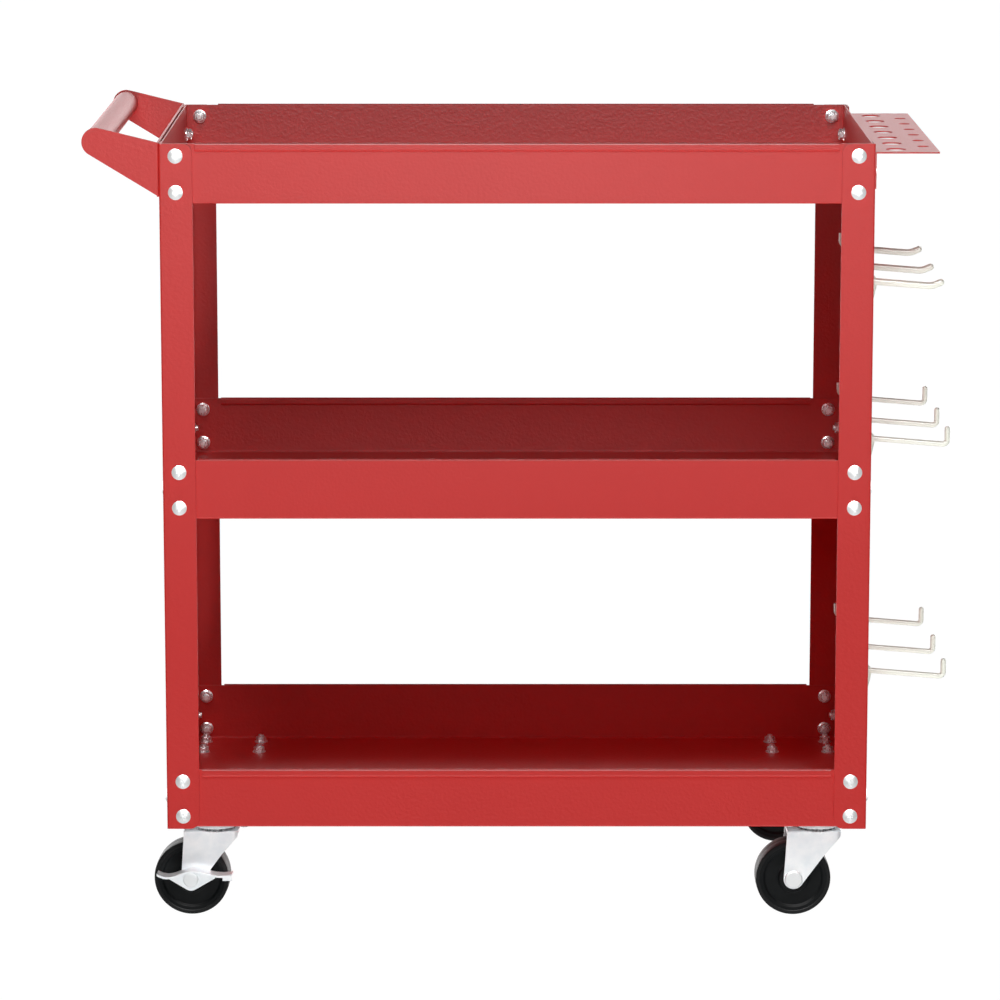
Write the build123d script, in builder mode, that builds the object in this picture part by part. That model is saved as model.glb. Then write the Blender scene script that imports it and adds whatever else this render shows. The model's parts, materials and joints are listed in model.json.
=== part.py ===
"""Three-tier rolling tool cart: angle posts, pressed trays, side handle, screwdriver rack,
pegboard with hooks, and four swivel casters, two of them braked.

Millimetres. +X runs from the handle end to the pegboard end, +Y to the rear, +Z up.
The origin is on the floor, under the middle of the whole cart, handle and hooks included.
"""
import os
from math import acos, atan2, cos, degrees, hypot, radians, sin, tan

from build123d import *

# ---------------------------------------------------------------- frame
body_length = 700.0        # over the outer faces of the posts, along X
body_depth = 385.0         # over the outer faces of the posts, along Y
post_flange = 32.6
post_sheet = 1.5
post_bend = 2.0            # outside bend radius of a post
post_corner = 10.0         # rounding of each flange's free corners
post_foot_drop = 1.7       # from the bottom tray's underside down to a post's lower end
post_inset = 0.9           # from the top tray's rolled edge down to the post's top

# ---------------------------------------------------------------- trays
tray_sheet = 1.2
tray_height = 60.0
lower_pitch = 314.0        # from the bottom tray up to the middle one
upper_pitch = 313.7        # from the middle tray up to the top one
tray_bend = 2.0
hem_height = 8.0
hem_width = 4.2
hem_end_gap = 3.0          # between a hem's end and the post's flange
wall_drop = 1.0            # from the hem's crown down to the plain wall beside it

# ---------------------------------------------------------------- fasteners
bolt_size = 6.0
bolt_length = 12.0
bolt_head = 14.6
bolt_head_height = 3.0
bolt_play = 0.6            # bolt hole over bolt
bolt_rim = 0.5             # flat edge of a bolt's head, below its dome
bolt_tip = 0.6             # chamfer at a bolt's end
dome_at = 0.58             # a share of the head's radius, where the dome has
dome_bulge = 0.7           # this share of its rise
cross_width = 1.3
cross_length = 5.4
cross_depth = 1.6
nut_flats = 10.0
nut_flange = 14.2
nut_flange_rim = 0.8
nut_flange_height = 2.0
nut_height = 6.0
nut_chamfer = 0.7
nut_clearance = 0.1        # radial, so that a nut and its bolt don't overlap
bolt_inset = 16.2          # from a post's outer face to its row of bolts
bolt_low = 11.2            # lower face bolt above the tray's underside
bolt_high = 46.9           # upper face bolt above the tray's underside
bolt_side = 29.2           # side bolt above the tray's underside

# ---------------------------------------------------------------- handle
handle_sheet = 2.0
handle_height = 53.0       # of the bracket where it meets the posts
handle_reach = 75.0        # from the posts' outer face to the ears' tips
ear_margin = 1.5           # from the tube out to the ear's round edge
ear_rise = 0.6             # tube's axis above the bracket's top edge
handle_tube = 25.0
handle_tube_wall = 1.5

# ---------------------------------------------------------------- screwdriver rack
rack_sheet = 1.4
rack_depth = 63.4          # from the posts' outer face to the rack's free edge
rack_end_gap = 5.5         # from the rack's ends to the posts' front and rear faces
rack_drop = 9.8            # from the top tray's rolled edge down to the rack's top
rack_skirt = 36.0          # height of the flange on the posts
rack_bend = 2.0
large_hole = 20.0
large_count = 7
large_inset = 22.4         # from the posts' outer face to the row of large holes
small_hole = 12.0
small_inset = 51.0
rack_end = 26.5            # from the rack's end to the first large hole

# ---------------------------------------------------------------- pegboard
board_sheet = 1.2
board_edge_gap = 1.0       # at the board's front and rear edges, inside the post bends
board_top_drop = 16.0      # from the top tray's rolled edge down to the board's top
peg_play = 0.9             # peg hole over hook wire
peg_pitch_y = 23.0
peg_pitch_z = 26.4
peg_margin = 30.0          # least distance from the posts' flanges in to the outer columns
peg_start = 11.2           # from the bottom tray's rolled edge up to the lowest row of holes
lower_rows = range(0, 9)   # rows in the lower bay, counted from the first
upper_rows = range(12, 21)

# ---------------------------------------------------------------- hooks
hook_reach = 83.7          # from the posts' outer face to the outside of a straight hook's tip
hook_wire = 5.5
fat_hook_wire = 7.0
hook_droop = 4.7           # degrees below level
hook_tip = 18.6            # tip of a straight hook above its shaft
hook_bend = 4.5
hook_leg_gap = 7.0         # from the board's face to the axis of a hook's outside leg
hook_leg_drop = 22.0
hook_prong_gap = 7.5       # from the board's face to the axis of the prong behind it
hook_prong_rise = 16.0
prong_bend = 3.6
leg_bend = 12.0
hook_above = 4.0           # peg hole above the root of a hook's shaft
fat_hook_reach = 73.5      # from the board's face to the end of a curved hook's axis
fat_hook_curl = 9.0        # length of the curled end
fat_hook_curl_rise = 3.8
fat_hook_bend = 18.0
hook_rows = {"curved": 18, "upper": 12, "lower": 3}

# ---------------------------------------------------------------- casters
caster_inset_x = 46.2      # swivel axis inside the posts' outer faces
caster_inset_y = 46.0
caster_bolts_x = 59.3
caster_bolts_y = 45.8
plate_length = 80.0
plate_width = 64.0
plate_sheet = 2.5
plate_corner = 8.0
race_outer = 23.0
race_inner = 11.0
race_height = 6.0
race_round = 1.5
ball_size = 5.0
ball_circle = 17.0         # radius of the ring of balls
ball_count = 18
ball_gap = 0.3             # between the balls and the fixed race
crown_gap = 2.8            # between the fixed race and the fork's crown
kingpin_size = 9.5
kingpin_head = 18.0
kingpin_head_height = 3.0
head_round = 0.6           # rounding of a pin's head, as a share of its height
running_fit = 0.08         # radial, for a pin that turns in its hole
press_gap = 0.05           # radial, for a pin that is riveted in its hole

wheel_size = 76.0
wheel_trail = 24.2
tyre_width = 27.0
tyre_thickness = 4.5
tyre_shoulder = 1.4
tyre_wall = 3.2            # straight part of the tyre's side
tyre_crown = 0.25           # rise of the tread from its shoulder to its middle
hub_proud = 1.5            # hub beyond the tyre on each side
hub_size = 30.0
hub_chamfer = 1.5
hub_foot = 1.0             # spread of the hub where it meets the web
web_inset = 3.0            # web inside the tyre's side
rim_inset = 0.8            # rim inside the tyre's side
rim_lip = 2.5              # thickness of the rim at its edge
rim_root = 4.0             # thickness of the rim at the web
sleeve_wall = 2.0
axle_size = 8.0
axle_nut_flats = 13.0
axle_nut_height = 6.5
axle_end = 2.0             # thread standing out of the axle nut
axle_cap = 18.0
axle_cap_height = 2.6
brake_cap = 15.4

fork_sheet = 2.5
fork_clearance = 9.7      # from the tyre up to the crown's underside
hub_gap = 0.5              # between the hub and each leg
fork_front = 24.3          # crown's leading edge from the swivel axis
fork_back = 31.0           # crown's trailing edge from the swivel axis
fork_rim = 4.2             # height of the crown's leading edge
fork_end = 10.0            # radius of a leg's end round the axle
fork_knee_x = 7.5          # where the leading edge changes slope
fork_knee_drop = 23.7      # from the crown down to that point
fork_knee_round = 30.0
fork_lead_angle = -34.0    # where the leading edge meets the leg's round end, in degrees
fork_corner = 6.0
fork_bend = 2.0            # between the crown and a leg

lever_sheet = 2.0
lever_gap = 0.2
lever_reach = 16.0         # how far the pedal stands out of the lever's plate
lever_plate_half = 24.3
lever_shoulder = 4.0       # from the plate's corner in to where it meets the wave
lever_plate_rise = 1.5     # plate's outer corners above the axle
lever_plate_drop = 13.0    # lowest corner of the plate below the axle, before it is rounded
lever_plate_round = 9.0
lever_pedal_end = 33.0     # pedal's tip from the axle
lever_lip_end = 43.0       # lip's outer end from the axle
lever_lip_length = 9.5
lever_lip_drop = 5.3
lever_heights = (9.0, 6.0, 12.2, 9.3, 9.2)   # of the pedal's wave above the axle

# rest turn of each caster about its swivel axis, in degrees
casters = {
    "front_left": {"x": -1, "y": -1, "turn": -2.5, "braked": True},
    "front_right": {"x": 1, "y": -1, "turn": 0.8, "braked": False},
    "rear_left": {"x": -1, "y": 1, "turn": 3.0, "braked": True},
    "rear_right": {"x": 1, "y": 1, "turn": 5.0, "braked": False},
}

# ---------------------------------------------------------------- derived places
body_x = (handle_reach - hook_reach) / 2          # body's middle from the origin
left_face = body_x - body_length / 2
right_face = body_x + body_length / 2
half_depth = body_depth / 2
fork_half = tyre_width / 2 + hub_proud + hub_gap + fork_sheet
fork_inner = fork_half - fork_sheet
caster_height = wheel_size + fork_clearance + fork_sheet + crown_gap + race_height + plate_sheet
tray_levels = (caster_height, caster_height + lower_pitch, caster_height + lower_pitch + upper_pitch)
tray_top = tray_levels[-1] + tray_height
post_top = tray_top - post_inset
post_foot = tray_levels[0] - post_foot_drop
board_face = right_face - post_sheet              # outer face of the pegboard
tray_left = left_face + post_sheet
tray_right = board_face - board_sheet
tray_middle = (tray_left + tray_right) / 2
tray_length = tray_right - tray_left
tray_depth = body_depth - 2 * post_sheet
bolt_row_y = half_depth - bolt_inset
plate_top = tray_levels[0]
plate_under = plate_top - plate_sheet
race_under = plate_under - race_height
crown_top = race_under - crown_gap
crown_under = crown_top - fork_sheet
ball_height = (race_under + crown_top) / 2
axle_height = wheel_size / 2
caster_x = body_length / 2 - caster_inset_x        # swivel axis from the body's middle
caster_y = half_depth - caster_inset_y
bolt_hole = bolt_size + bolt_play
peg_hole = hook_wire + peg_play
peg_first_row = tray_levels[0] + tray_height + peg_start
peg_columns = int((body_depth - 2 * (post_flange + peg_margin)) // peg_pitch_y) + 1
hook_columns = {"front": 0, "mid": (peg_columns - 1) // 2, "rear": peg_columns - 1}
fork_knee_z = crown_top - fork_knee_drop
ear_radius = handle_tube / 2 + ear_margin
rack_length = body_depth - 2 * rack_end_gap
rack_pitch = (rack_length - 2 * rack_end) / (large_count - 1)

os.makedirs("parts", exist_ok=True)


def save(part, name):
    """Label a finished piece and write its STEP file."""
    part.label = name
    export_step(part, f"parts/{name}.step")


def face_plane(x, y, z, outward):
    """A plane at a point whose normal is the given outward direction."""
    return Plane(origin=(x, y, z), z_dir=outward)


def post_bolt_points(side_x):
    """X and heights of the two rows of face bolts on a post."""
    x = body_x + side_x * (body_length / 2 - bolt_inset)
    return [(x, level + rise) for level in tray_levels for rise in (bolt_low, bolt_high)]


def wire(points, radii, size):
    """Add a round wire to the open part: straight runs in the XZ plane joined by arcs."""
    with BuildLine(Plane.XZ) as path:
        FilletPolyline(*points, radius=radii)
    with BuildSketch(Plane(origin=path.wire() @ 0, z_dir=path.wire() % 0)) as profile:
        Circle(size / 2)
    sweep(sections=profile.sketch, path=path.wire())


# ================================================================ posts
for side_name, side_x in (("left", -1), ("right", 1)):
    for end_name, end_y in (("front", -1), ("rear", 1)):
        corner = (body_x + side_x * body_length / 2, end_y * half_depth)
        with BuildPart() as post:
            with BuildSketch(Plane.XY.offset(post_foot)):
                with BuildLine():
                    Polyline(
                        corner,
                        (corner[0] - side_x * post_flange, corner[1]),
                        (corner[0] - side_x * post_flange, corner[1] - end_y * post_sheet),
                        (corner[0] - side_x * post_sheet, corner[1] - end_y * post_sheet),
                        (corner[0] - side_x * post_sheet, corner[1] - end_y * post_flange),
                        (corner[0], corner[1] - end_y * post_flange),
                        close=True,
                    )
                make_face()
                fillet(vertices().sort_by_distance(corner)[0], post_bend)
                inner_point = (corner[0] - side_x * post_sheet, corner[1] - end_y * post_sheet)
                fillet(vertices().sort_by_distance(inner_point)[0], post_bend - post_sheet)
            extrude(amount=post_top - post_foot)
            across_y = edges().filter_by(Axis.Y).sort_by(Axis.X, reverse=side_x > 0)
            fillet(across_y[-2:], post_corner)
            across_x = edges().filter_by(Axis.X).sort_by(Axis.Y, reverse=end_y > 0)
            fillet(across_x[-2:], post_corner)
            for x, z in post_bolt_points(side_x):
                with BuildSketch(face_plane(x, corner[1], z, (0, end_y, 0))):
                    Circle(bolt_hole / 2)
                extrude(amount=-post_sheet, mode=Mode.SUBTRACT)
            for level in tray_levels:
                side_bolt = (corner[0], end_y * bolt_row_y, level + bolt_side)
                with BuildSketch(face_plane(*side_bolt, (side_x, 0, 0))):
                    Circle(bolt_hole / 2)
                extrude(amount=-post_sheet, mode=Mode.SUBTRACT)
        save(post.part, f"post_{end_name}_{side_name}")

# ================================================================ trays
hem_half = body_length / 2 - post_flange - hem_end_gap
for tray_name, level in zip(("tray_bottom", "tray_middle", "tray_top"), tray_levels):
    hem_side = -1 if tray_name == "tray_middle" else 1
    wall_top = level + tray_height - wall_drop
    with BuildPart() as tray:
        with BuildSketch(Plane.XY.offset(level)):
            with Locations((tray_middle, 0)):
                Rectangle(tray_length, tray_depth)
        extrude(amount=wall_top - level)
        outer_edges = edges().group_by(Axis.Z)[0] + edges().filter_by(Axis.Z)
        fillet(outer_edges, tray_bend)
        offset(amount=-tray_sheet, openings=faces().sort_by(Axis.Z)[-1])
        for end_y in (-1, 1):
            wall_face = end_y * tray_depth / 2
            if hem_side > 0:
                hem_y = wall_face + end_y * (hem_width / 2 - tray_sheet)
            else:
                hem_y = wall_face - end_y * hem_width / 2
            hem_z = level + tray_height - hem_height / 2
            section = Plane(origin=(body_x - hem_half, hem_y, hem_z), x_dir=(0, 1, 0), z_dir=(1, 0, 0))
            with BuildSketch(section):
                SlotOverall(hem_height, hem_width, rotation=90)
                hollow = (hem_height - 2 * tray_sheet, hem_width - 2 * tray_sheet)
                SlotOverall(*hollow, rotation=90, mode=Mode.SUBTRACT)
            extrude(amount=2 * hem_half)
            for side_x in (-1, 1):
                for rise in (bolt_low, bolt_high):
                    x = body_x + side_x * (body_length / 2 - bolt_inset)
                    with BuildSketch(face_plane(x, wall_face, level + rise, (0, end_y, 0))):
                        Circle(bolt_hole / 2)
                    extrude(amount=-tray_sheet, mode=Mode.SUBTRACT)
        for end_face, side_x in ((tray_left, -1), (tray_right, 1)):
            for end_y in (-1, 1):
                side_bolt = (end_face, end_y * bolt_row_y, level + bolt_side)
                with BuildSketch(face_plane(*side_bolt, (side_x, 0, 0))):
                    Circle(bolt_hole / 2)
                extrude(amount=-tray_sheet, mode=Mode.SUBTRACT)
        if tray_name == "tray_bottom":
            with BuildSketch(Plane.XY.offset(level)):
                for caster in casters.values():
                    centre = (body_x + caster["x"] * caster_x, caster["y"] * caster_y)
                    with Locations(centre):
                        with GridLocations(caster_bolts_x, caster_bolts_y, 2, 2):
                            Circle(bolt_hole / 2)
            extrude(amount=tray_sheet, mode=Mode.SUBTRACT)
    save(tray.part, tray_name)

# ================================================================ handle
tube_x = left_face - handle_reach + ear_radius
tube_z = tray_top + ear_rise
plate_x = left_face - handle_sheet
ear_root = ((left_face, tray_top), (left_face, tray_top - handle_height))


def tangent_angle(point, side):
    """Direction, in degrees, from the ear's centre to where a straight edge from a point meets its arc."""
    across, up = point[0] - tube_x, point[1] - tube_z
    return degrees(atan2(up, across) + side * acos(ear_radius / hypot(across, up)))


with BuildPart() as handle_bracket:
    for end_y in (-1, 1):
        with BuildSketch(Plane.XZ.offset(-end_y * half_depth)):
            with BuildLine():
                arc_start = tangent_angle(ear_root[0], 1)
                arc_size = tangent_angle(ear_root[1], -1) + 360 - arc_start
                tip = CenterArc((tube_x, tube_z), ear_radius, arc_start, arc_size)
                Polyline(tip @ 0, ear_root[0], ear_root[1], tip @ 1)
            make_face()
        extrude(amount=end_y * handle_sheet)
    with BuildSketch(Plane.YZ.offset(plate_x)):
        with Locations((0, tray_top - handle_height / 2)):
            Rectangle(body_depth, handle_height)
    extrude(amount=handle_sheet)
    for end_y in (-1, 1):
        bend = edges().filter_by(Axis.Z).sort_by(Axis.X)[-4:]
        fillet(bend.sort_by_distance((left_face, end_y * half_depth, tray_top))[0], post_bend)
        with BuildSketch(face_plane(plate_x, end_y * bolt_row_y, tray_levels[-1] + bolt_side, (-1, 0, 0))):
            Circle(bolt_hole / 2)
        extrude(amount=-handle_sheet, mode=Mode.SUBTRACT)
save(handle_bracket.part, "handle_bracket")

with BuildPart() as handle_bar:
    with BuildSketch(Plane(origin=(tube_x, -half_depth + handle_sheet, tube_z), z_dir=(0, 1, 0))):
        Circle(handle_tube / 2)
        Circle(handle_tube / 2 - handle_tube_wall, mode=Mode.SUBTRACT)
    extrude(amount=body_depth - 2 * handle_sheet)
save(handle_bar.part, "handle_tube")

# ================================================================ screwdriver rack
rack_top = tray_top - rack_drop
with BuildPart() as rack:
    with BuildSketch(Plane.XZ.offset(rack_length / 2)):
        with BuildLine():
            Polyline(
                (right_face, rack_top),
                (right_face + rack_depth, rack_top),
                (right_face + rack_depth, rack_top - rack_sheet),
                (right_face + rack_sheet, rack_top - rack_sheet),
                (right_face + rack_sheet, rack_top - rack_skirt),
                (right_face, rack_top - rack_skirt),
                close=True,
            )
        make_face()
        fillet(vertices().sort_by_distance((right_face, rack_top))[0], rack_bend)
    extrude(amount=-rack_length)
    with BuildSketch(Plane.XY.offset(rack_top)):
        with Locations((right_face + large_inset, 0)):
            with GridLocations(1, rack_pitch, 1, large_count):
                Circle(large_hole / 2)
        with Locations((right_face + small_inset, 0)):
            with GridLocations(1, rack_pitch, 1, large_count - 1):
                Circle(small_hole / 2)
    extrude(amount=-rack_sheet, mode=Mode.SUBTRACT)
    free_edge = edges().filter_by(Axis.Z).group_by(Axis.X)[-1]
    fillet(free_edge, rack_bend)
    for end_y in (-1, 1):
        side_bolt = (right_face + rack_sheet, end_y * bolt_row_y, tray_levels[-1] + bolt_side)
        with BuildSketch(face_plane(*side_bolt, (1, 0, 0))):
            Circle(bolt_hole / 2)
        extrude(amount=-rack_sheet, mode=Mode.SUBTRACT)
save(rack.part, "screwdriver_rack")

# ================================================================ pegboard
board_foot = tray_levels[0]
board_top = tray_top - board_top_drop
board_width = body_depth - 2 * post_sheet - 2 * board_edge_gap
with BuildPart() as pegboard:
    with BuildSketch(Plane(origin=(board_face - board_sheet, 0, 0), x_dir=(0, 1, 0), z_dir=(1, 0, 0))):
        with Locations((0, (board_foot + board_top) / 2)):
            Rectangle(board_width, board_top - board_foot)
        peg_rows = [peg_first_row + row * peg_pitch_z for row in (*lower_rows, *upper_rows)]
        for z in peg_rows:
            with Locations((0, z)):
                with GridLocations(peg_pitch_y, 1, peg_columns, 1):
                    Circle(peg_hole / 2, mode=Mode.SUBTRACT)
        for level in tray_levels:
            with Locations((-bolt_row_y, level + bolt_side), (bolt_row_y, level + bolt_side)):
                Circle(bolt_hole / 2, mode=Mode.SUBTRACT)
    extrude(amount=board_sheet)
save(pegboard.part, "pegboard")

# ================================================================ hooks
for row_name, row in hook_rows.items():
    size = fat_hook_wire if row_name == "curved" else hook_wire
    root_z = peg_first_row + row * peg_pitch_z - hook_above
    leg_x = board_face + hook_leg_gap
    with BuildPart() as hook:
        wire(
            [
                (board_face - hook_prong_gap, root_z + hook_prong_rise),
                (board_face - hook_prong_gap, root_z + hook_above),
                (leg_x, root_z + hook_above),
                (leg_x, root_z - hook_above),
                (board_face + hook_wire / 2, root_z - hook_leg_drop),
            ],
            [prong_bend, prong_bend, leg_bend],
            hook_wire,
        )
        if row_name == "curved":
            end_x = board_face + fat_hook_reach
            turn_x = end_x - fat_hook_curl
            turn_z = root_z - (turn_x - leg_x) * tan(radians(hook_droop))
            tip_point = (end_x, turn_z + fat_hook_curl_rise)
            bend = fat_hook_bend
        else:
            turn_x = right_face + hook_reach - hook_wire / 2
            turn_z = root_z - (turn_x - leg_x) * tan(radians(hook_droop))
            tip_point = (turn_x, turn_z + hook_tip - hook_wire / 2)
            bend = hook_bend
        wire([(leg_x, root_z), (turn_x, turn_z), tip_point], [bend], size)
        with Locations((tip_point[0], 0, tip_point[1])):
            Sphere(size / 2)
    for column_name, column in hook_columns.items():
        y = (column - (peg_columns - 1) / 2) * peg_pitch_y
        save(hook.part.moved(Location((0, y, 0))), f"hook_{row_name}_{column_name}")

# ================================================================ bolts and nuts
with BuildPart() as bolt:
    with BuildSketch(Plane.XZ):
        with BuildLine():
            ThreePointArc(
                (bolt_head / 2, bolt_rim),
                (bolt_head / 2 * dome_at, bolt_rim + (bolt_head_height - bolt_rim) * dome_bulge),
                (0, bolt_head_height),
            )
            Polyline(
                (0, bolt_head_height),
                (0, -bolt_length),
                (bolt_size / 2 - bolt_tip, -bolt_length),
                (bolt_size / 2, -bolt_length + bolt_tip),
                (bolt_size / 2, 0),
                (bolt_head / 2, 0),
                (bolt_head / 2, bolt_rim),
            )
        make_face()
    revolve(axis=Axis.Z)
    with BuildSketch(Plane.XY.offset(bolt_head_height - cross_depth)):
        Rectangle(cross_length, cross_width)
        Rectangle(cross_width, cross_length)
    extrude(amount=bolt_head_height, mode=Mode.SUBTRACT)

with BuildPart() as nut:
    with BuildSketch():
        RegularPolygon(nut_flats / 2, 6, major_radius=False)
    extrude(amount=nut_height)
    chamfer(edges().group_by(Axis.Z)[-1], nut_chamfer)
    with BuildSketch(Plane.XZ):
        with BuildLine():
            Polyline(
                (0, 0),
                (nut_flange / 2, 0),
                (nut_flange / 2, nut_flange_rim),
                (nut_flats / 2, nut_flange_height),
                (0, nut_flange_height),
                close=True,
            )
        make_face()
    revolve(axis=Axis.Z)
    with BuildSketch():
        Circle(bolt_size / 2 + nut_clearance)
    extrude(amount=nut_height, mode=Mode.SUBTRACT)

face_bolt_places = []
face_nut_places = []
for side_x in (-1, 1):
    for end_y in (-1, 1):
        for x, z in post_bolt_points(side_x):
            face_bolt_places.append(face_plane(x, end_y * half_depth, z, (0, end_y, 0)))
            inside = end_y * (tray_depth / 2 - tray_sheet)
            face_nut_places.append(face_plane(x, inside, z, (0, -end_y, 0)))

side_bolt_places = []
side_nut_places = []
for end_y in (-1, 1):
    for level in tray_levels:
        on_top = level == tray_levels[-1]
        left_skin = left_face - (handle_sheet if on_top else 0)
        right_skin = right_face + (rack_sheet if on_top else 0)
        z = level + bolt_side
        side_bolt_places.append(face_plane(left_skin, end_y * bolt_row_y, z, (-1, 0, 0)))
        side_bolt_places.append(face_plane(right_skin, end_y * bolt_row_y, z, (1, 0, 0)))
        side_nut_places.append(face_plane(tray_left + tray_sheet, end_y * bolt_row_y, z, (1, 0, 0)))
        side_nut_places.append(face_plane(tray_right - tray_sheet, end_y * bolt_row_y, z, (-1, 0, 0)))

caster_bolt_places = []
caster_nut_places = []
for caster in casters.values():
    for dx in (-caster_bolts_x / 2, caster_bolts_x / 2):
        for dy in (-caster_bolts_y / 2, caster_bolts_y / 2):
            x = body_x + caster["x"] * caster_x + dx
            y = caster["y"] * caster_y + dy
            caster_bolt_places.append(face_plane(x, y, plate_under, (0, 0, -1)))
            caster_nut_places.append(face_plane(x, y, tray_levels[0] + tray_sheet, (0, 0, 1)))

fastener_groups = {
    "tray_bolts": (bolt, face_bolt_places),
    "side_bolts": (bolt, side_bolt_places),
    "tray_nuts": (nut, face_nut_places + side_nut_places),
    "caster_bolts": (bolt, caster_bolt_places),
    "caster_nuts": (nut, caster_nut_places),
}
for group_name, (pattern, places) in fastener_groups.items():
    with BuildPart() as group:
        with Locations(*places):
            add(pattern.part, clean=False)
    save(group.part, group_name)

# ================================================================ caster pieces, about the swivel axis
with BuildPart() as caster_plate:
    with BuildSketch(Plane.XY.offset(plate_under)):
        RectangleRounded(plate_length, plate_width, plate_corner)
        with GridLocations(caster_bolts_x, caster_bolts_y, 2, 2):
            Circle(bolt_hole / 2, mode=Mode.SUBTRACT)
    extrude(amount=plate_sheet)
    with BuildSketch(Plane.XY.offset(race_under)):
        Circle(race_outer)
        Circle(race_inner, mode=Mode.SUBTRACT)
    extrude(amount=race_height)
    race_rim = edges().filter_by(GeomType.CIRCLE).group_by(Axis.Z)[0].sort_by(SortBy.RADIUS)[-1]
    fillet(race_rim, race_round)
    with Locations((0, 0, ball_height)):
        Torus(ball_circle, ball_size / 2 + ball_gap, mode=Mode.SUBTRACT)
    with BuildSketch(Plane.XY.offset(plate_under)):
        Circle(kingpin_size / 2 + press_gap)
    extrude(amount=plate_sheet, mode=Mode.SUBTRACT)

with BuildPart() as caster_balls:
    with Locations((0, 0, ball_height)):
        with PolarLocations(ball_circle, ball_count):
            Sphere(ball_size / 2)

with BuildPart() as kingpin:
    head_top = crown_under - lever_gap
    with BuildSketch(Plane.XY.offset(head_top)):
        Circle(kingpin_size / 2)
    extrude(amount=plate_top - head_top - press_gap)
    with BuildSketch(Plane.XY.offset(head_top)):
        Circle(kingpin_head / 2)
    extrude(amount=-kingpin_head_height)
    fillet(edges().group_by(Axis.Z)[0], kingpin_head_height * head_round)

axle_x = -wheel_trail
with BuildPart() as fork:
    lead_x = axle_x + fork_end * cos(radians(fork_lead_angle))
    lead_z = axle_height + fork_end * sin(radians(fork_lead_angle))
    with BuildSketch(Plane.XZ):
        with BuildLine():
            CenterArc((axle_x, axle_height), fork_end, 180, 180 + fork_lead_angle)
            Polyline(
                (lead_x, lead_z),
                (fork_knee_x, fork_knee_z),
                (fork_front, crown_top - fork_rim),
                (fork_front, crown_top),
                (-fork_back, crown_top),
                (axle_x - fork_end, axle_height),
            )
        make_face()
        fillet(vertices().sort_by_distance((fork_knee_x, fork_knee_z))[0], fork_knee_round)
    extrude(amount=fork_half, both=True)
    with BuildSketch():
        with Locations(((fork_front - fork_back - fork_end) / 2, 0)):
            Rectangle(fork_front + fork_back + fork_end, 2 * fork_half)
        fillet(vertices().group_by(Axis.X)[-1], fork_corner)
    extrude(amount=crown_top, mode=Mode.INTERSECT)
    with BuildSketch(Plane.XZ):
        with Locations(((fork_front - fork_back) / 2, crown_under / 2)):
            Rectangle(2 * (fork_front + fork_back), crown_under)
    extrude(amount=fork_inner, both=True, mode=Mode.SUBTRACT)
    top_bends = edges().filter_by(Axis.X).group_by(Axis.Z)[-1].group_by(SortBy.LENGTH)[-1]
    fillet(top_bends, fork_bend)
    with BuildSketch(Plane.XZ.offset(fork_half)):
        with Locations((axle_x, axle_height)):
            Circle(axle_size / 2 + running_fit)
    extrude(amount=-2 * fork_half, mode=Mode.SUBTRACT)
    with BuildSketch(Plane.XY.offset(crown_under)):
        Circle(kingpin_size / 2 + running_fit)
    extrude(amount=fork_sheet, mode=Mode.SUBTRACT)
    with Locations((0, 0, ball_height)):
        Torus(ball_circle, ball_size / 2 + press_gap, mode=Mode.SUBTRACT)

wheel_axis = Axis((axle_x, 0, axle_height), (0, 1, 0))
section_plane = Plane(origin=(axle_x, 0, axle_height), x_dir=(0, 1, 0), z_dir=(-1, 0, 0))
core_radius = wheel_size / 2 - tyre_thickness
sleeve_radius = axle_size / 2 + sleeve_wall
hub_half = tyre_width / 2 + hub_proud
web_half = tyre_width / 2 - web_inset
rim_half = tyre_width / 2 - rim_inset
hub_root = hub_size / 2 + hub_foot

with BuildPart() as wheel_core:
    with BuildSketch(section_plane):
        with BuildLine():
            Polyline(
                (-hub_half, sleeve_radius + running_fit),
                (hub_half, sleeve_radius + running_fit),
                (hub_half, hub_size / 2 - hub_chamfer),
                (hub_half - hub_chamfer, hub_size / 2),
                (web_half, hub_root),
                (web_half, core_radius - rim_root),
                (rim_half, core_radius - rim_lip),
                (rim_half, core_radius),
                (-rim_half, core_radius),
                (-rim_half, core_radius - rim_lip),
                (-web_half, core_radius - rim_root),
                (-web_half, hub_root),
                (-hub_half + hub_chamfer, hub_size / 2),
                (-hub_half, hub_size / 2 - hub_chamfer),
                close=True,
            )
        make_face()
    revolve(axis=wheel_axis)

shoulder_y = tyre_width / 2 - tyre_shoulder
shoulder_z = wheel_size / 2 - tyre_crown
with BuildPart() as tyre:
    with BuildSketch(section_plane):
        with BuildLine():
            ThreePointArc((shoulder_y, shoulder_z), (0, wheel_size / 2), (-shoulder_y, shoulder_z))
            Polyline(
                (-shoulder_y, shoulder_z),
                (-tyre_width / 2, core_radius + tyre_wall),
                (-tyre_width / 2, core_radius),
                (tyre_width / 2, core_radius),
                (tyre_width / 2, core_radius + tyre_wall),
                (shoulder_y, shoulder_z),
            )
        make_face()
    revolve(axis=wheel_axis)

with BuildPart() as sleeve:
    with BuildSketch(section_plane):
        with Locations((0, (sleeve_radius + axle_size / 2 + press_gap) / 2)):
            Rectangle(2 * fork_inner, sleeve_radius - axle_size / 2 - press_gap)
    revolve(axis=wheel_axis)


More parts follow.
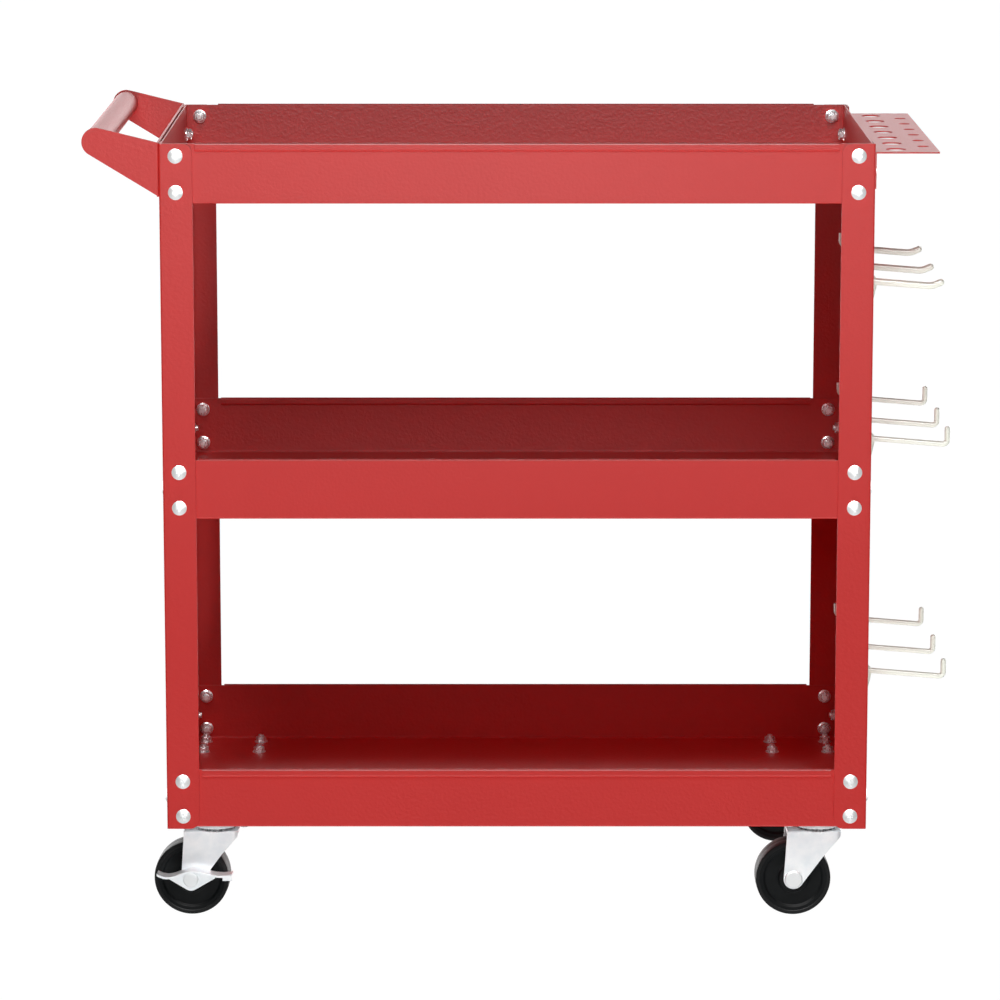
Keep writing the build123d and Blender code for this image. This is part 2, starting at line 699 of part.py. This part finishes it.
def axle_with_nut(cap_size, cap_seat):
    """Axle bolt with a domed cap in front and a lock nut behind, as two solids."""
    front = Plane(origin=(axle_x, -cap_seat, axle_height), z_dir=(0, -1, 0))
    rear = Plane(origin=(axle_x, fork_half, axle_height), z_dir=(0, 1, 0))
    with BuildPart() as axle:
        with BuildSketch(front):
            Circle(axle_size / 2)
        extrude(amount=-(cap_seat + fork_half + axle_nut_height + axle_end))
        with BuildSketch(front):
            Circle(cap_size / 2)
        extrude(amount=axle_cap_height)
        fillet(edges().group_by(Axis.Y)[0], axle_cap_height * head_round)
        with BuildSketch(rear):
            RegularPolygon(axle_nut_flats / 2, 6, major_radius=False)
            Circle(axle_size / 2 + nut_clearance, mode=Mode.SUBTRACT)
        extrude(amount=axle_nut_height)
    return axle.part


lever_back = fork_half + lever_gap
crest_half = lever_plate_half - lever_shoulder
wave_x = (-lever_pedal_end, -crest_half, 0.0, crest_half, lever_lip_end)
wave = [(axle_x + x, axle_height + z) for x, z in zip(wave_x, lever_heights)]
with BuildPart() as brake_lever:
    with BuildSketch(Plane.XZ.offset(lever_back)):
        with BuildLine():
            crest = Spline(*wave)
            belly = Spline(*[(x, z - lever_sheet) for x, z in wave])
            Line(crest @ 0, belly @ 0)
            Line(crest @ 1, belly @ 1)
        make_face()
    extrude(amount=lever_reach)
    with BuildSketch(Plane.XZ.offset(lever_back)):
        with BuildLine():
            Polyline(
                (axle_x - lever_plate_half, axle_height + lever_plate_rise),
                (axle_x, axle_height - lever_plate_drop),
                (axle_x + lever_plate_half, axle_height + lever_plate_rise),
                *[(x, z - lever_sheet / 2) for x, z in reversed(wave[1:4])],
                close=True,
            )
        make_face()
        fillet(vertices().group_by(Axis.Y)[0], lever_plate_round)
    extrude(amount=lever_sheet)
    lip_x = wave[-1][0] - lever_lip_length / 2
    lip_z = wave[-1][1] - (lever_sheet + lever_lip_drop) / 2
    with BuildSketch(Plane.XZ.offset(lever_back + lever_reach - lever_sheet)):
        with Locations((lip_x, lip_z)):
            Rectangle(lever_lip_length, lever_lip_drop)
    extrude(amount=lever_sheet)
    with BuildSketch(Plane.XZ.offset(lever_back)):
        with Locations((axle_x, axle_height)):
            Circle(axle_size / 2 + running_fit)
    extrude(amount=lever_sheet, mode=Mode.SUBTRACT)

plain_axle = axle_with_nut(axle_cap, fork_half)
braked_axle = axle_with_nut(brake_cap, fork_half + lever_sheet + 2 * lever_gap)

for name, caster in casters.items():
    centre = (body_x + caster["x"] * caster_x, caster["y"] * caster_y, 0)
    fixed = Location(centre)
    turned = Location(centre, (0, 0, caster["turn"]))
    save(caster_plate.part.moved(fixed), f"caster_plate_{name}")
    save(kingpin.part.moved(fixed), f"kingpin_{name}")
    save(caster_balls.part.moved(turned), f"swivel_balls_{name}")
    save(fork.part.moved(turned), f"fork_{name}")
    save(sleeve.part.moved(turned), f"sleeve_{name}")
    save(wheel_core.part.moved(turned), f"wheel_core_{name}")
    save(tyre.part.moved(turned), f"tyre_{name}")
    axle = braked_axle if caster["braked"] else plain_axle
    save(axle.moved(turned), f"axle_{name}")
    if caster["braked"]:
        save(brake_lever.part.moved(turned), f"brake_lever_{name}")
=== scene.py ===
"""Looks of the three-tier rolling tool cart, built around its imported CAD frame. Metres, +Z up."""
import json
from math import atan2, cos, pi, radians, sin, tan

import bmesh
import bpy
from mathutils import Matrix, Vector


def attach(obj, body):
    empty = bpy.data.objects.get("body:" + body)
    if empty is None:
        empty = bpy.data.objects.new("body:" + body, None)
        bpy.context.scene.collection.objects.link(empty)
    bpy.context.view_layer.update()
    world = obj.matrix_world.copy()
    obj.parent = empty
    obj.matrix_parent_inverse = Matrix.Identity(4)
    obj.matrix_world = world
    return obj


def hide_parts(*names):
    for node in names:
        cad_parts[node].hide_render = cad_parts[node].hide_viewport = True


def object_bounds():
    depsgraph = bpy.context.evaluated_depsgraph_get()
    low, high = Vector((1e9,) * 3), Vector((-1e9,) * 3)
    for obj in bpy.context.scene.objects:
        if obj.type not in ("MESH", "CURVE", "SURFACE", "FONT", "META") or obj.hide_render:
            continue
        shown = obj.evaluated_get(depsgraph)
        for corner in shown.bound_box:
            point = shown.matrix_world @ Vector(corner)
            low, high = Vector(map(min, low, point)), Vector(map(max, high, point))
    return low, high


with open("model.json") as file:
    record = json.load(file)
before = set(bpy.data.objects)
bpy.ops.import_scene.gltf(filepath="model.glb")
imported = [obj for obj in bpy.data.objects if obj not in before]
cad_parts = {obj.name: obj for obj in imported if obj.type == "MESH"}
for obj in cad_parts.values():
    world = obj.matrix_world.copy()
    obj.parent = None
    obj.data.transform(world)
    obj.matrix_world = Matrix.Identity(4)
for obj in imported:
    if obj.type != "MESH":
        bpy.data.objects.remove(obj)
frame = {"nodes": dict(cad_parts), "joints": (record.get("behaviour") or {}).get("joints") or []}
cad_low, cad_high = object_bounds()
nodes = frame["nodes"]
MM = 0.001
scene = bpy.context.scene


# ================================================================ materials
class Nodes:
    """A small helper around one material's node tree."""

    def __init__(self, name):
        self.material = bpy.data.materials.new(name)
        self.material.use_nodes = True
        self.tree = self.material.node_tree
        self.shader = self.tree.nodes["Principled BSDF"]
        self.place = self.add("ShaderNodeTexCoord").outputs["Object"]

    def add(self, kind, inputs=None, **settings):
        node = self.tree.nodes.new(kind)
        for key, value in settings.items():
            setattr(node, key, value)
        for key, value in (inputs or {}).items():
            self.put(node.inputs[key], value)
        return node

    def put(self, socket, value):
        if isinstance(value, bpy.types.NodeSocket):
            self.tree.links.new(value, socket)
        else:
            socket.default_value = value

    def noise(self, per_metre, detail=2.0, rough=0.5, stretch=(1, 1, 1)):
        """Noise whose features are about 1 / per_metre wide."""
        scaled = self.add("ShaderNodeMapping", {"Vector": self.place, "Scale": stretch})
        inputs = {"Vector": scaled.outputs[0], "Scale": per_metre}
        inputs.update({"Detail": detail, "Roughness": rough})
        return self.add("ShaderNodeTexNoise", inputs).outputs["Fac"]

    def cells(self, per_metre):
        """A random value for each crystal-like cell."""
        cell = self.add("ShaderNodeTexVoronoi", {"Vector": self.place, "Scale": per_metre})
        return self.add("ShaderNodeSeparateColor", {0: cell.outputs["Color"]}).outputs[0]

    def span(self, value, low, high, start=0.0, end=1.0):
        """Maps a value from start..end onto low..high."""
        inputs = {"Value": value, "From Min": start, "From Max": end, "To Min": low, "To Max": high}
        return self.add("ShaderNodeMapRange", inputs).outputs[0]

    def blend(self, value, first, second):
        """Goes from the first colour to the second as a value goes from 0 to 1."""
        mix = self.add("ShaderNodeMix", data_type="RGBA")
        self.put(mix.inputs["Factor"], value)
        self.put(mix.inputs["A"], (*first, 1) if isinstance(first, tuple) else first)
        self.put(mix.inputs["B"], (*second, 1) if isinstance(second, tuple) else second)
        return mix.outputs["Result"]

    def relief(self, layers, edge=0.0):
        """Bumps from (height value, depth in metres) layers, over edges softened by a radius."""
        normal = None
        if edge:
            normal = self.add("ShaderNodeBevel", {"Radius": edge}, samples=6).outputs[0]
        for height, depth in layers:
            inputs = {"Height": height, "Distance": depth, "Strength": 1.0}
            bump = self.add("ShaderNodeBump", inputs)
            if normal is not None:
                self.put(bump.inputs["Normal"], normal)
            normal = bump.outputs[0]
        self.put(self.shader.inputs["Normal"], normal)

    def set(self, **values):
        """Sets the shader's own sockets, with _ for a space in their names."""
        for key, value in values.items():
            self.put(self.shader.inputs[key.replace("_", " ")], value)


def red_powder_coat():
    """Fine orange-peel powder coat on sheet steel."""
    deep_red, light_red = (0.700, 0.0130, 0.0100), (0.750, 0.0170, 0.0135)
    speck_red = (0.52, 0.009, 0.008)
    m = Nodes("red_powder_coat")
    drift, grain = m.noise(9, 3), m.noise(2600, 2)
    wide_peel, fine_peel = m.noise(330, 3), m.noise(900, 2)
    shade = m.blend(drift, deep_red, light_red)
    m.set(Base_Color=m.blend(m.span(grain, 0, 0.16), shade, speck_red))
    m.set(Roughness=m.span(m.noise(420, 3), 0.42, 0.52), Specular_IOR_Level=0.40)
    m.relief([(wide_peel, 0.38 * MM), (fine_peel, 0.04 * MM), (grain, 0.01 * MM)], edge=0.6 * MM)
    return m.material


def ivory_coating():
    """Dipped ivory coating on hook wire, a little uneven along it."""
    warm_ivory, pale_ivory = (0.87, 0.885, 0.77), (0.90, 0.91, 0.82)
    m = Nodes("ivory_coating")
    m.set(Base_Color=m.blend(m.noise(60, 3), warm_ivory, pale_ivory))
    m.set(Roughness=m.span(m.noise(300, 2), 0.24, 0.36), Specular_IOR_Level=0.5)
    m.set(Coat_Weight=0.25, Coat_Roughness=0.15)
    m.relief([(m.noise(160, 2), 0.08 * MM), (m.noise(900, 2), 0.01 * MM)])
    return m.material


def zinc(name, dark, pale, metallic, smooth, rough):
    """Zinc plating on a small turned or pressed piece."""
    m = Nodes(name)
    m.set(Base_Color=m.blend(m.noise(240, 3), dark, pale), Metallic=metallic)
    m.set(Roughness=m.span(m.noise(700, 2), smooth, rough))
    m.relief([(m.noise(1500, 2), 0.008 * MM)], edge=0.25 * MM)
    return m.material


def zinc_fastener():
    """Bright zinc on the posts' screws and on the axles."""
    return zinc("zinc_fastener", (0.93, 0.95, 0.955), (0.97, 0.985, 0.99), 0.45, 0.26, 0.38)


def zinc_nut():
    """Duller zinc on the trays' nuts and on the casters' bolts and nuts."""
    return zinc("zinc_nut", (0.82, 0.85, 0.87), (0.92, 0.94, 0.95), 0.75, 0.22, 0.34)


def zinc_plate():
    """Galvanised sheet with a faint spangle and cloudy patches."""
    dull_zinc, bright_zinc = (0.86, 0.90, 0.925), (0.97, 0.985, 0.99)
    spangle_zinc = (0.84, 0.875, 0.905)
    m = Nodes("zinc_plate")
    cloud = m.noise(70, 4, 0.6)
    spangle = m.cells(260)
    clear = m.blend(m.span(cloud, 0, 1, 0.35, 0.65), dull_zinc, bright_zinc)
    m.set(Base_Color=m.blend(m.span(spangle, 0, 0.22), clear, spangle_zinc), Metallic=0.35)
    m.set(Roughness=m.span(cloud, 0.30, 0.46))
    scratches = m.noise(1800, 2)
    m.relief([(cloud, 0.05 * MM), (spangle, 0.004 * MM), (scratches, 0.004 * MM)], edge=0.5 * MM)
    return m.material


def steel_pin():
    """Plain ground steel, with fine turning marks."""
    dark_steel, light_steel = (0.50, 0.50, 0.51), (0.62, 0.62, 0.63)
    m = Nodes("steel_pin")
    m.set(Base_Color=m.blend(m.noise(400, 2), dark_steel, light_steel), Metallic=1.0)
    m.set(Roughness=m.span(m.noise(900, 2), 0.25, 0.42))
    m.relief([(m.noise(2400, 2, stretch=(1, 1, 4)), 0.006 * MM)])
    return m.material


def wheel_plastic():
    """Moulded black plastic with a satin, slightly mottled skin."""
    black, worn_black = (0.0060, 0.0070, 0.0075), (0.0105, 0.0120, 0.0130)
    m = Nodes("wheel_plastic")
    m.set(Base_Color=m.blend(m.noise(120, 3), black, worn_black))
    m.set(Roughness=m.span(m.noise(500, 3), 0.38, 0.55), Specular_IOR_Level=0.14)
    m.relief([(m.noise(1600, 2), 0.012 * MM)], edge=0.3 * MM)
    return m.material


def wheel_rubber():
    """Hard black tread with a dull, fine-grained face and traces of dust."""
    black, dusty_black = (0.0070, 0.0078, 0.0085), (0.030, 0.029, 0.028)
    m = Nodes("wheel_rubber")
    dust = m.span(m.noise(80, 5, 0.7), 0, 0.35, 0.5, 0.8)
    m.set(Base_Color=m.blend(dust, black, dusty_black))
    m.set(Roughness=m.span(m.noise(350, 3), 0.45, 0.62), Specular_IOR_Level=0.25)
    m.relief([(m.noise(1100, 3), 0.02 * MM)])
    return m.material


materials = {
    make.__name__: make()
    for make in (
        red_powder_coat,
        ivory_coating,
        zinc_fastener,
        zinc_nut,
        zinc_plate,
        steel_pin,
        wheel_plastic,
        wheel_rubber,
    )
}
# The start of a CAD node's name gives its finish. The rest is powder coated.
finishes = {
    "hook_": "ivory_coating",
    "tray_bolts": "zinc_fastener",
    "tray_nuts": "zinc_nut",
    "side_bolts": "zinc_fastener",
    "caster_bolts": "zinc_nut",
    "caster_nuts": "zinc_nut",
    "axle_": "zinc_fastener",
    "caster_plate_": "zinc_plate",
    "fork_": "zinc_plate",
    "brake_lever_": "zinc_plate",
    "kingpin_": "steel_pin",
    "swivel_balls_": "steel_pin",
    "sleeve_": "steel_pin",
    "wheel_core_": "wheel_plastic",
    "tyre_": "wheel_rubber",
}


def finish_of(node_name):
    for start, finish in finishes.items():
        if node_name.startswith(start):
            return finish
    return "red_powder_coat"


for node_name, node in nodes.items():
    node.data.materials.clear()
    node.data.materials.append(materials[finish_of(node_name)])


# ================================================================ mesh helpers
smooth_angle = radians(35)


def piece(name, bm, body, finish, replaced):
    """Turns a bmesh into a piece that rides on a body and stands for CAD nodes."""
    mesh = bpy.data.meshes.new(name)
    bmesh.ops.recalc_face_normals(bm, faces=bm.faces)
    bm.to_mesh(mesh)
    bm.free()
    mesh.shade_smooth()
    mesh.set_sharp_from_angle(angle=smooth_angle)
    mesh.materials.append(materials[finish])
    made = bpy.data.objects.new(name, mesh)
    scene.collection.objects.link(made)
    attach(made, body)
    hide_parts(*replaced)


wheel_segments = 96


def lathe(bm, profile, place):
    """Spins a closed (radius, along) profile about the local Y axis of a placing matrix."""
    rings = []
    for step in range(wheel_segments):
        angle = 2 * pi * step / wheel_segments
        spot = [place @ Vector((r * cos(angle), y, r * sin(angle))) for r, y in profile]
        rings.append([bm.verts.new(p) for p in spot])
    for ring, following in zip(rings, rings[1:] + rings[:1]):
        for i in range(len(profile)):
            j = (i + 1) % len(profile)
            bm.faces.new((ring[i], ring[j], following[j], following[i]))


def rounded(corners, steps):
    """Replaces each (x, y, radius) corner of a closed outline by an arc."""
    points = []
    count = len(corners)
    for i, (x, y, radius) in enumerate(corners):
        here = Vector((x, y))
        if not radius:
            points.append((x, y))
            continue
        back = (Vector(corners[i - 1][:2]) - here).normalized()
        ahead = (Vector(corners[(i + 1) % count][:2]) - here).normalized()
        half = back.angle(ahead) / 2
        centre = here + (back + ahead).normalized() * (radius / sin(half))
        start = here + back * (radius / tan(half)) - centre
        end = here + ahead * (radius / tan(half)) - centre
        turn = start.angle_signed(end)
        for k in range(steps + 1):
            a = -turn * k / steps
            points.append((
                centre.x + start.x * cos(a) - start.y * sin(a),
                centre.y + start.x * sin(a) + start.y * cos(a),
            ))
    return points


# ================================================================ wheels
joints = {joint["name"]: joint for joint in frame["joints"]}
corner_names = ("front_left", "front_right", "rear_left", "rear_right")


def wheel_place(corner):
    """The wheel's centre, with Y along its axle."""
    joint = joints[f"roll_{corner}"]
    axis = Vector(joint["axis"])
    turn = atan2(-axis.x, axis.y)
    return Matrix.Translation(joint["pos_m"]) @ Matrix.Rotation(turn, 4, "Z")


# Each ring of the wheel: its radius, and half the width there.
sleeve_hole, hub_half = 6.08 * MM, 15.0 * MM
hub_radius = 14.2 * MM
hub_foot, hub_foot_half = 15.2 * MM, 11.6 * MM
dish_start, dish_start_half = 17.6 * MM, 10.7 * MM
dish_end, dish_end_half = 28.4 * MM, 10.2 * MM
rim_foot, rim_foot_half = 30.2 * MM, 12.4 * MM
tread_seat, rim_half = 33.5 * MM, 12.9 * MM
wheel_radius, tyre_half = 38.0 * MM, 13.5 * MM
hub_chamfer = 0.5 * MM
tyre_lip = 0.4 * MM          # the tyre's inner edge, set in from its side
tyre_lip_height = 0.6 * MM
shoulder_drop = 0.3 * MM     # from the tread down to the shoulder
mould_line_half = 0.9 * MM   # a shallow groove round the tread's middle
mould_line_floor = 0.25 * MM
mould_line_depth = 0.12 * MM
bend_steps = 4


def mirrored(half_profile):
    """Closes a profile given for one side by its mirror image across y = 0."""
    return half_profile + [(r, -y, bend) for r, y, bend in reversed(half_profile)]


def tyre_profile():
    side = [
        (tread_seat, tyre_half - tyre_lip, 0),
        (tread_seat + tyre_lip_height, tyre_half, 0.5 * MM),
        (wheel_radius - shoulder_drop, tyre_half, 1.3 * MM),
        (wheel_radius, mould_line_half, 0),
        (wheel_radius - mould_line_depth, mould_line_floor, 0),
    ]
    return rounded(mirrored(side), bend_steps)


def core_profile():
    side = [
        (sleeve_hole, hub_half - hub_chamfer, 0),
        (sleeve_hole + hub_chamfer, hub_half, 0),
        (hub_radius, hub_half, 0.9 * MM),
        (hub_foot, hub_foot_half, 1.6 * MM),
        (dish_start, dish_start_half, 1.0 * MM),
        (dish_end, dish_end_half, 1.2 * MM),
        (rim_foot, rim_foot_half, 0.8 * MM),
        (tread_seat, rim_half, 0),
    ]
    return rounded(mirrored(side), bend_steps)


for corner in corner_names:
    place = wheel_place(corner)
    for part_name, profile, finish in (
        ("tyre", tyre_profile(), "wheel_rubber"),
        ("wheel_core", core_profile(), "wheel_plastic"),
    ):
        bm = bmesh.new()
        lathe(bm, profile, place)
        replaced = [f"{part_name}_{corner}"]
        piece(f"{part_name}_fine_{corner}", bm, f"wheel_{corner}", finish, replaced)

# ================================================================ floor and light
# The floor only shows as white. It casts no shadow and lights nothing.
stage_size = 60.0
bpy.ops.mesh.primitive_plane_add(size=stage_size, location=(0, 0, cad_low.z))
floor = bpy.context.object
floor.name = "floor"
floor_material = bpy.data.materials.new("pale_floor")
floor_material.use_nodes = True
floor.data.materials.append(floor_material)
floor_shader = floor_material.node_tree.nodes["Principled BSDF"]
floor_shader.inputs["Base Color"].default_value = (0.04, 0.04, 0.04, 1)
floor_shader.inputs["Roughness"].default_value = 0.9
floor_shader.inputs["Specular IOR Level"].default_value = 0.0
floor_shader.inputs["Emission Color"].default_value = (1, 1, 1, 1)
floor_shader.inputs["Emission Strength"].default_value = 1.0
floor.visible_diffuse = False
floor.visible_glossy = False
floor.visible_shadow = False

world = bpy.data.worlds.new("soft_studio")
scene.world = world
world.use_nodes = True
sky = world.node_tree
sky.nodes.clear()


def sky_node(kind, *inputs, **settings):
    """Adds a node, with its inputs in their order, and gives its first output."""
    node = sky.nodes.new(kind)
    for key, value in settings.items():
        setattr(node, key, value)
    for socket, value in zip(node.inputs, inputs):
        if isinstance(value, bpy.types.NodeSocket):
            sky.links.new(value, socket)
        elif value is not None:
            socket.default_value = value
    return node.outputs[0]


def sky_ramp(value, fade, height=1.0):
    """Rises smoothly from 0 to height as a value goes from the fade's start to its end."""
    inputs = (value, *fade, 0.0, height)
    return sky_node("ShaderNodeMapRange", *inputs, interpolation_type="SMOOTHSTEP")


def times(a, b):
    return sky_node("ShaderNodeMath", a, b, operation="MULTIPLY")


def plus(a, b):
    return sky_node("ShaderNodeMath", a, b, operation="ADD")


# Fades over the x, y or z of a direction of length 1.
front_y, front_x = (-0.02, -0.20), (0.34, 0.10)
rear_y, rear_z = (0.05, 0.45), (-0.45, -0.05)
softbox_bottom, softbox_top = (0.46, 0.66), (0.98, 0.84)
lit_floor_z = (-0.32, -0.56)
rear_fill_z, backdrop_z = (0.50, 0.12), (0.60, 0.20)
# Strengths, as light and as what gloss reflects.
softbox_light, softbox_in_gloss = 5.2, 0.09
lit_floor_light = 8.2
rear_fill_light, backdrop_in_gloss = 0.95, 4.3
all_round_light, all_round_in_gloss = 0.04, 0.07
backdrop_to_camera = 1.25

direction = sky.nodes.new("ShaderNodeTexCoord").outputs["Generated"]
split = sky.nodes.new("ShaderNodeSeparateXYZ")
sky.links.new(direction, split.inputs[0])
dir_x = sky_node("ShaderNodeMath", split.outputs[0], operation="ABSOLUTE")
dir_y, dir_z = split.outputs[1], split.outputs[2]
in_front = times(sky_ramp(dir_y, front_y), sky_ramp(dir_x, front_x))
behind = times(sky_ramp(dir_y, rear_y), sky_ramp(dir_z, rear_z))
softbox_height = times(sky_ramp(dir_z, softbox_bottom, softbox_light), sky_ramp(dir_z, softbox_top))
softbox = times(in_front, softbox_height)
lit_floor = times(in_front, sky_ramp(dir_z, lit_floor_z, lit_floor_light))
rear_fill = times(behind, sky_ramp(dir_z, rear_fill_z, rear_fill_light))
backdrop = times(behind, sky_ramp(dir_z, backdrop_z, backdrop_in_gloss))
diffuse_light = plus(plus(softbox, lit_floor), plus(rear_fill, all_round_light))
glossy_light = plus(plus(times(softbox, softbox_in_gloss), backdrop), all_round_in_gloss)

path = sky.nodes.new("ShaderNodeLightPath")
in_gloss, to_camera = path.outputs["Is Glossy Ray"], path.outputs["Is Camera Ray"]
light = sky_node("ShaderNodeMix", in_gloss, None, diffuse_light, glossy_light)
strength = sky_node("ShaderNodeMix", to_camera, None, light, backdrop_to_camera)
background = sky.nodes.new("ShaderNodeBackground")
sky.links.new(strength, background.inputs["Strength"])
output = sky.nodes.new("ShaderNodeOutputWorld")
sky.links.new(background.outputs[0], output.inputs["Surface"])


def area_light(name, place, look_at, size, watts, diffuse=True):
    """A rectangular light, hidden from the camera. Without diffuse it only adds highlights."""
    data = bpy.data.lights.new(name, "AREA")
    data.shape = "RECTANGLE"
    data.size, data.size_y = size
    data.energy = watts
    lamp = bpy.data.objects.new(name, data)
    scene.collection.objects.link(lamp)
    lamp.location = place
    lamp.rotation_mode = "QUATERNION"
    lamp.rotation_quaternion = (Vector(look_at) - Vector(place)).to_track_quat("-Z", "Z")
    lamp.visible_camera = False
    lamp.visible_diffuse = diffuse
    return lamp


bank_place, bank_aim = (0, -1.15, 1.55), (0, 0, 0.74)
area_light("front_bank", bank_place, bank_aim, size=(1.5, 0.3), watts=66, diffuse=False)
top_card_place, top_card_aim = (0, -0.9, 0.67), (0, 0, 0.67)
area_light("top_card", top_card_place, top_card_aim, size=(1.7, 0.14), watts=3.4, diffuse=False)
bright_card_place, bright_card_aim = (0, -2.6, 0.35), (0, 0, 0.35)
bright_card = area_light("bright_card", bright_card_place, bright_card_aim, size=(3.2, 1.2), watts=20)
# The bright card lights these zinc and ivory pieces and nothing else.
bright_starts = (
    "fork_", "brake_lever_", "axle_", "hook_", "tray_", "side_bolts", "caster_bolts", "caster_nuts",
)
bright_parts = bpy.data.collections.new("bright_parts")
for node_name, node in nodes.items():
    if node_name.startswith(bright_starts) and finish_of(node_name) != "red_powder_coat":
        bright_parts.objects.link(node)
bright_card.light_linking.receiver_collection = bright_parts

# ================================================================ camera
# Fitted to the edges of the posts and trays in the photograph.
camera_place = (-0.02103, -4.7447, 1.2783)
camera_pitch = 10.52         # degrees below level
focal_length = 168.56        # millimetres
camera_data = bpy.data.cameras.new("camera")
camera_data.lens = focal_length
camera_data.sensor_width = 36.0
camera_data.clip_end = 200.0
camera = bpy.data.objects.new("camera", camera_data)
scene.collection.objects.link(camera)
camera.location = camera_place
camera.rotation_euler = (radians(90 - camera_pitch), 0, 0)
scene.camera = camera
scene.view_settings.view_transform = "Standard"
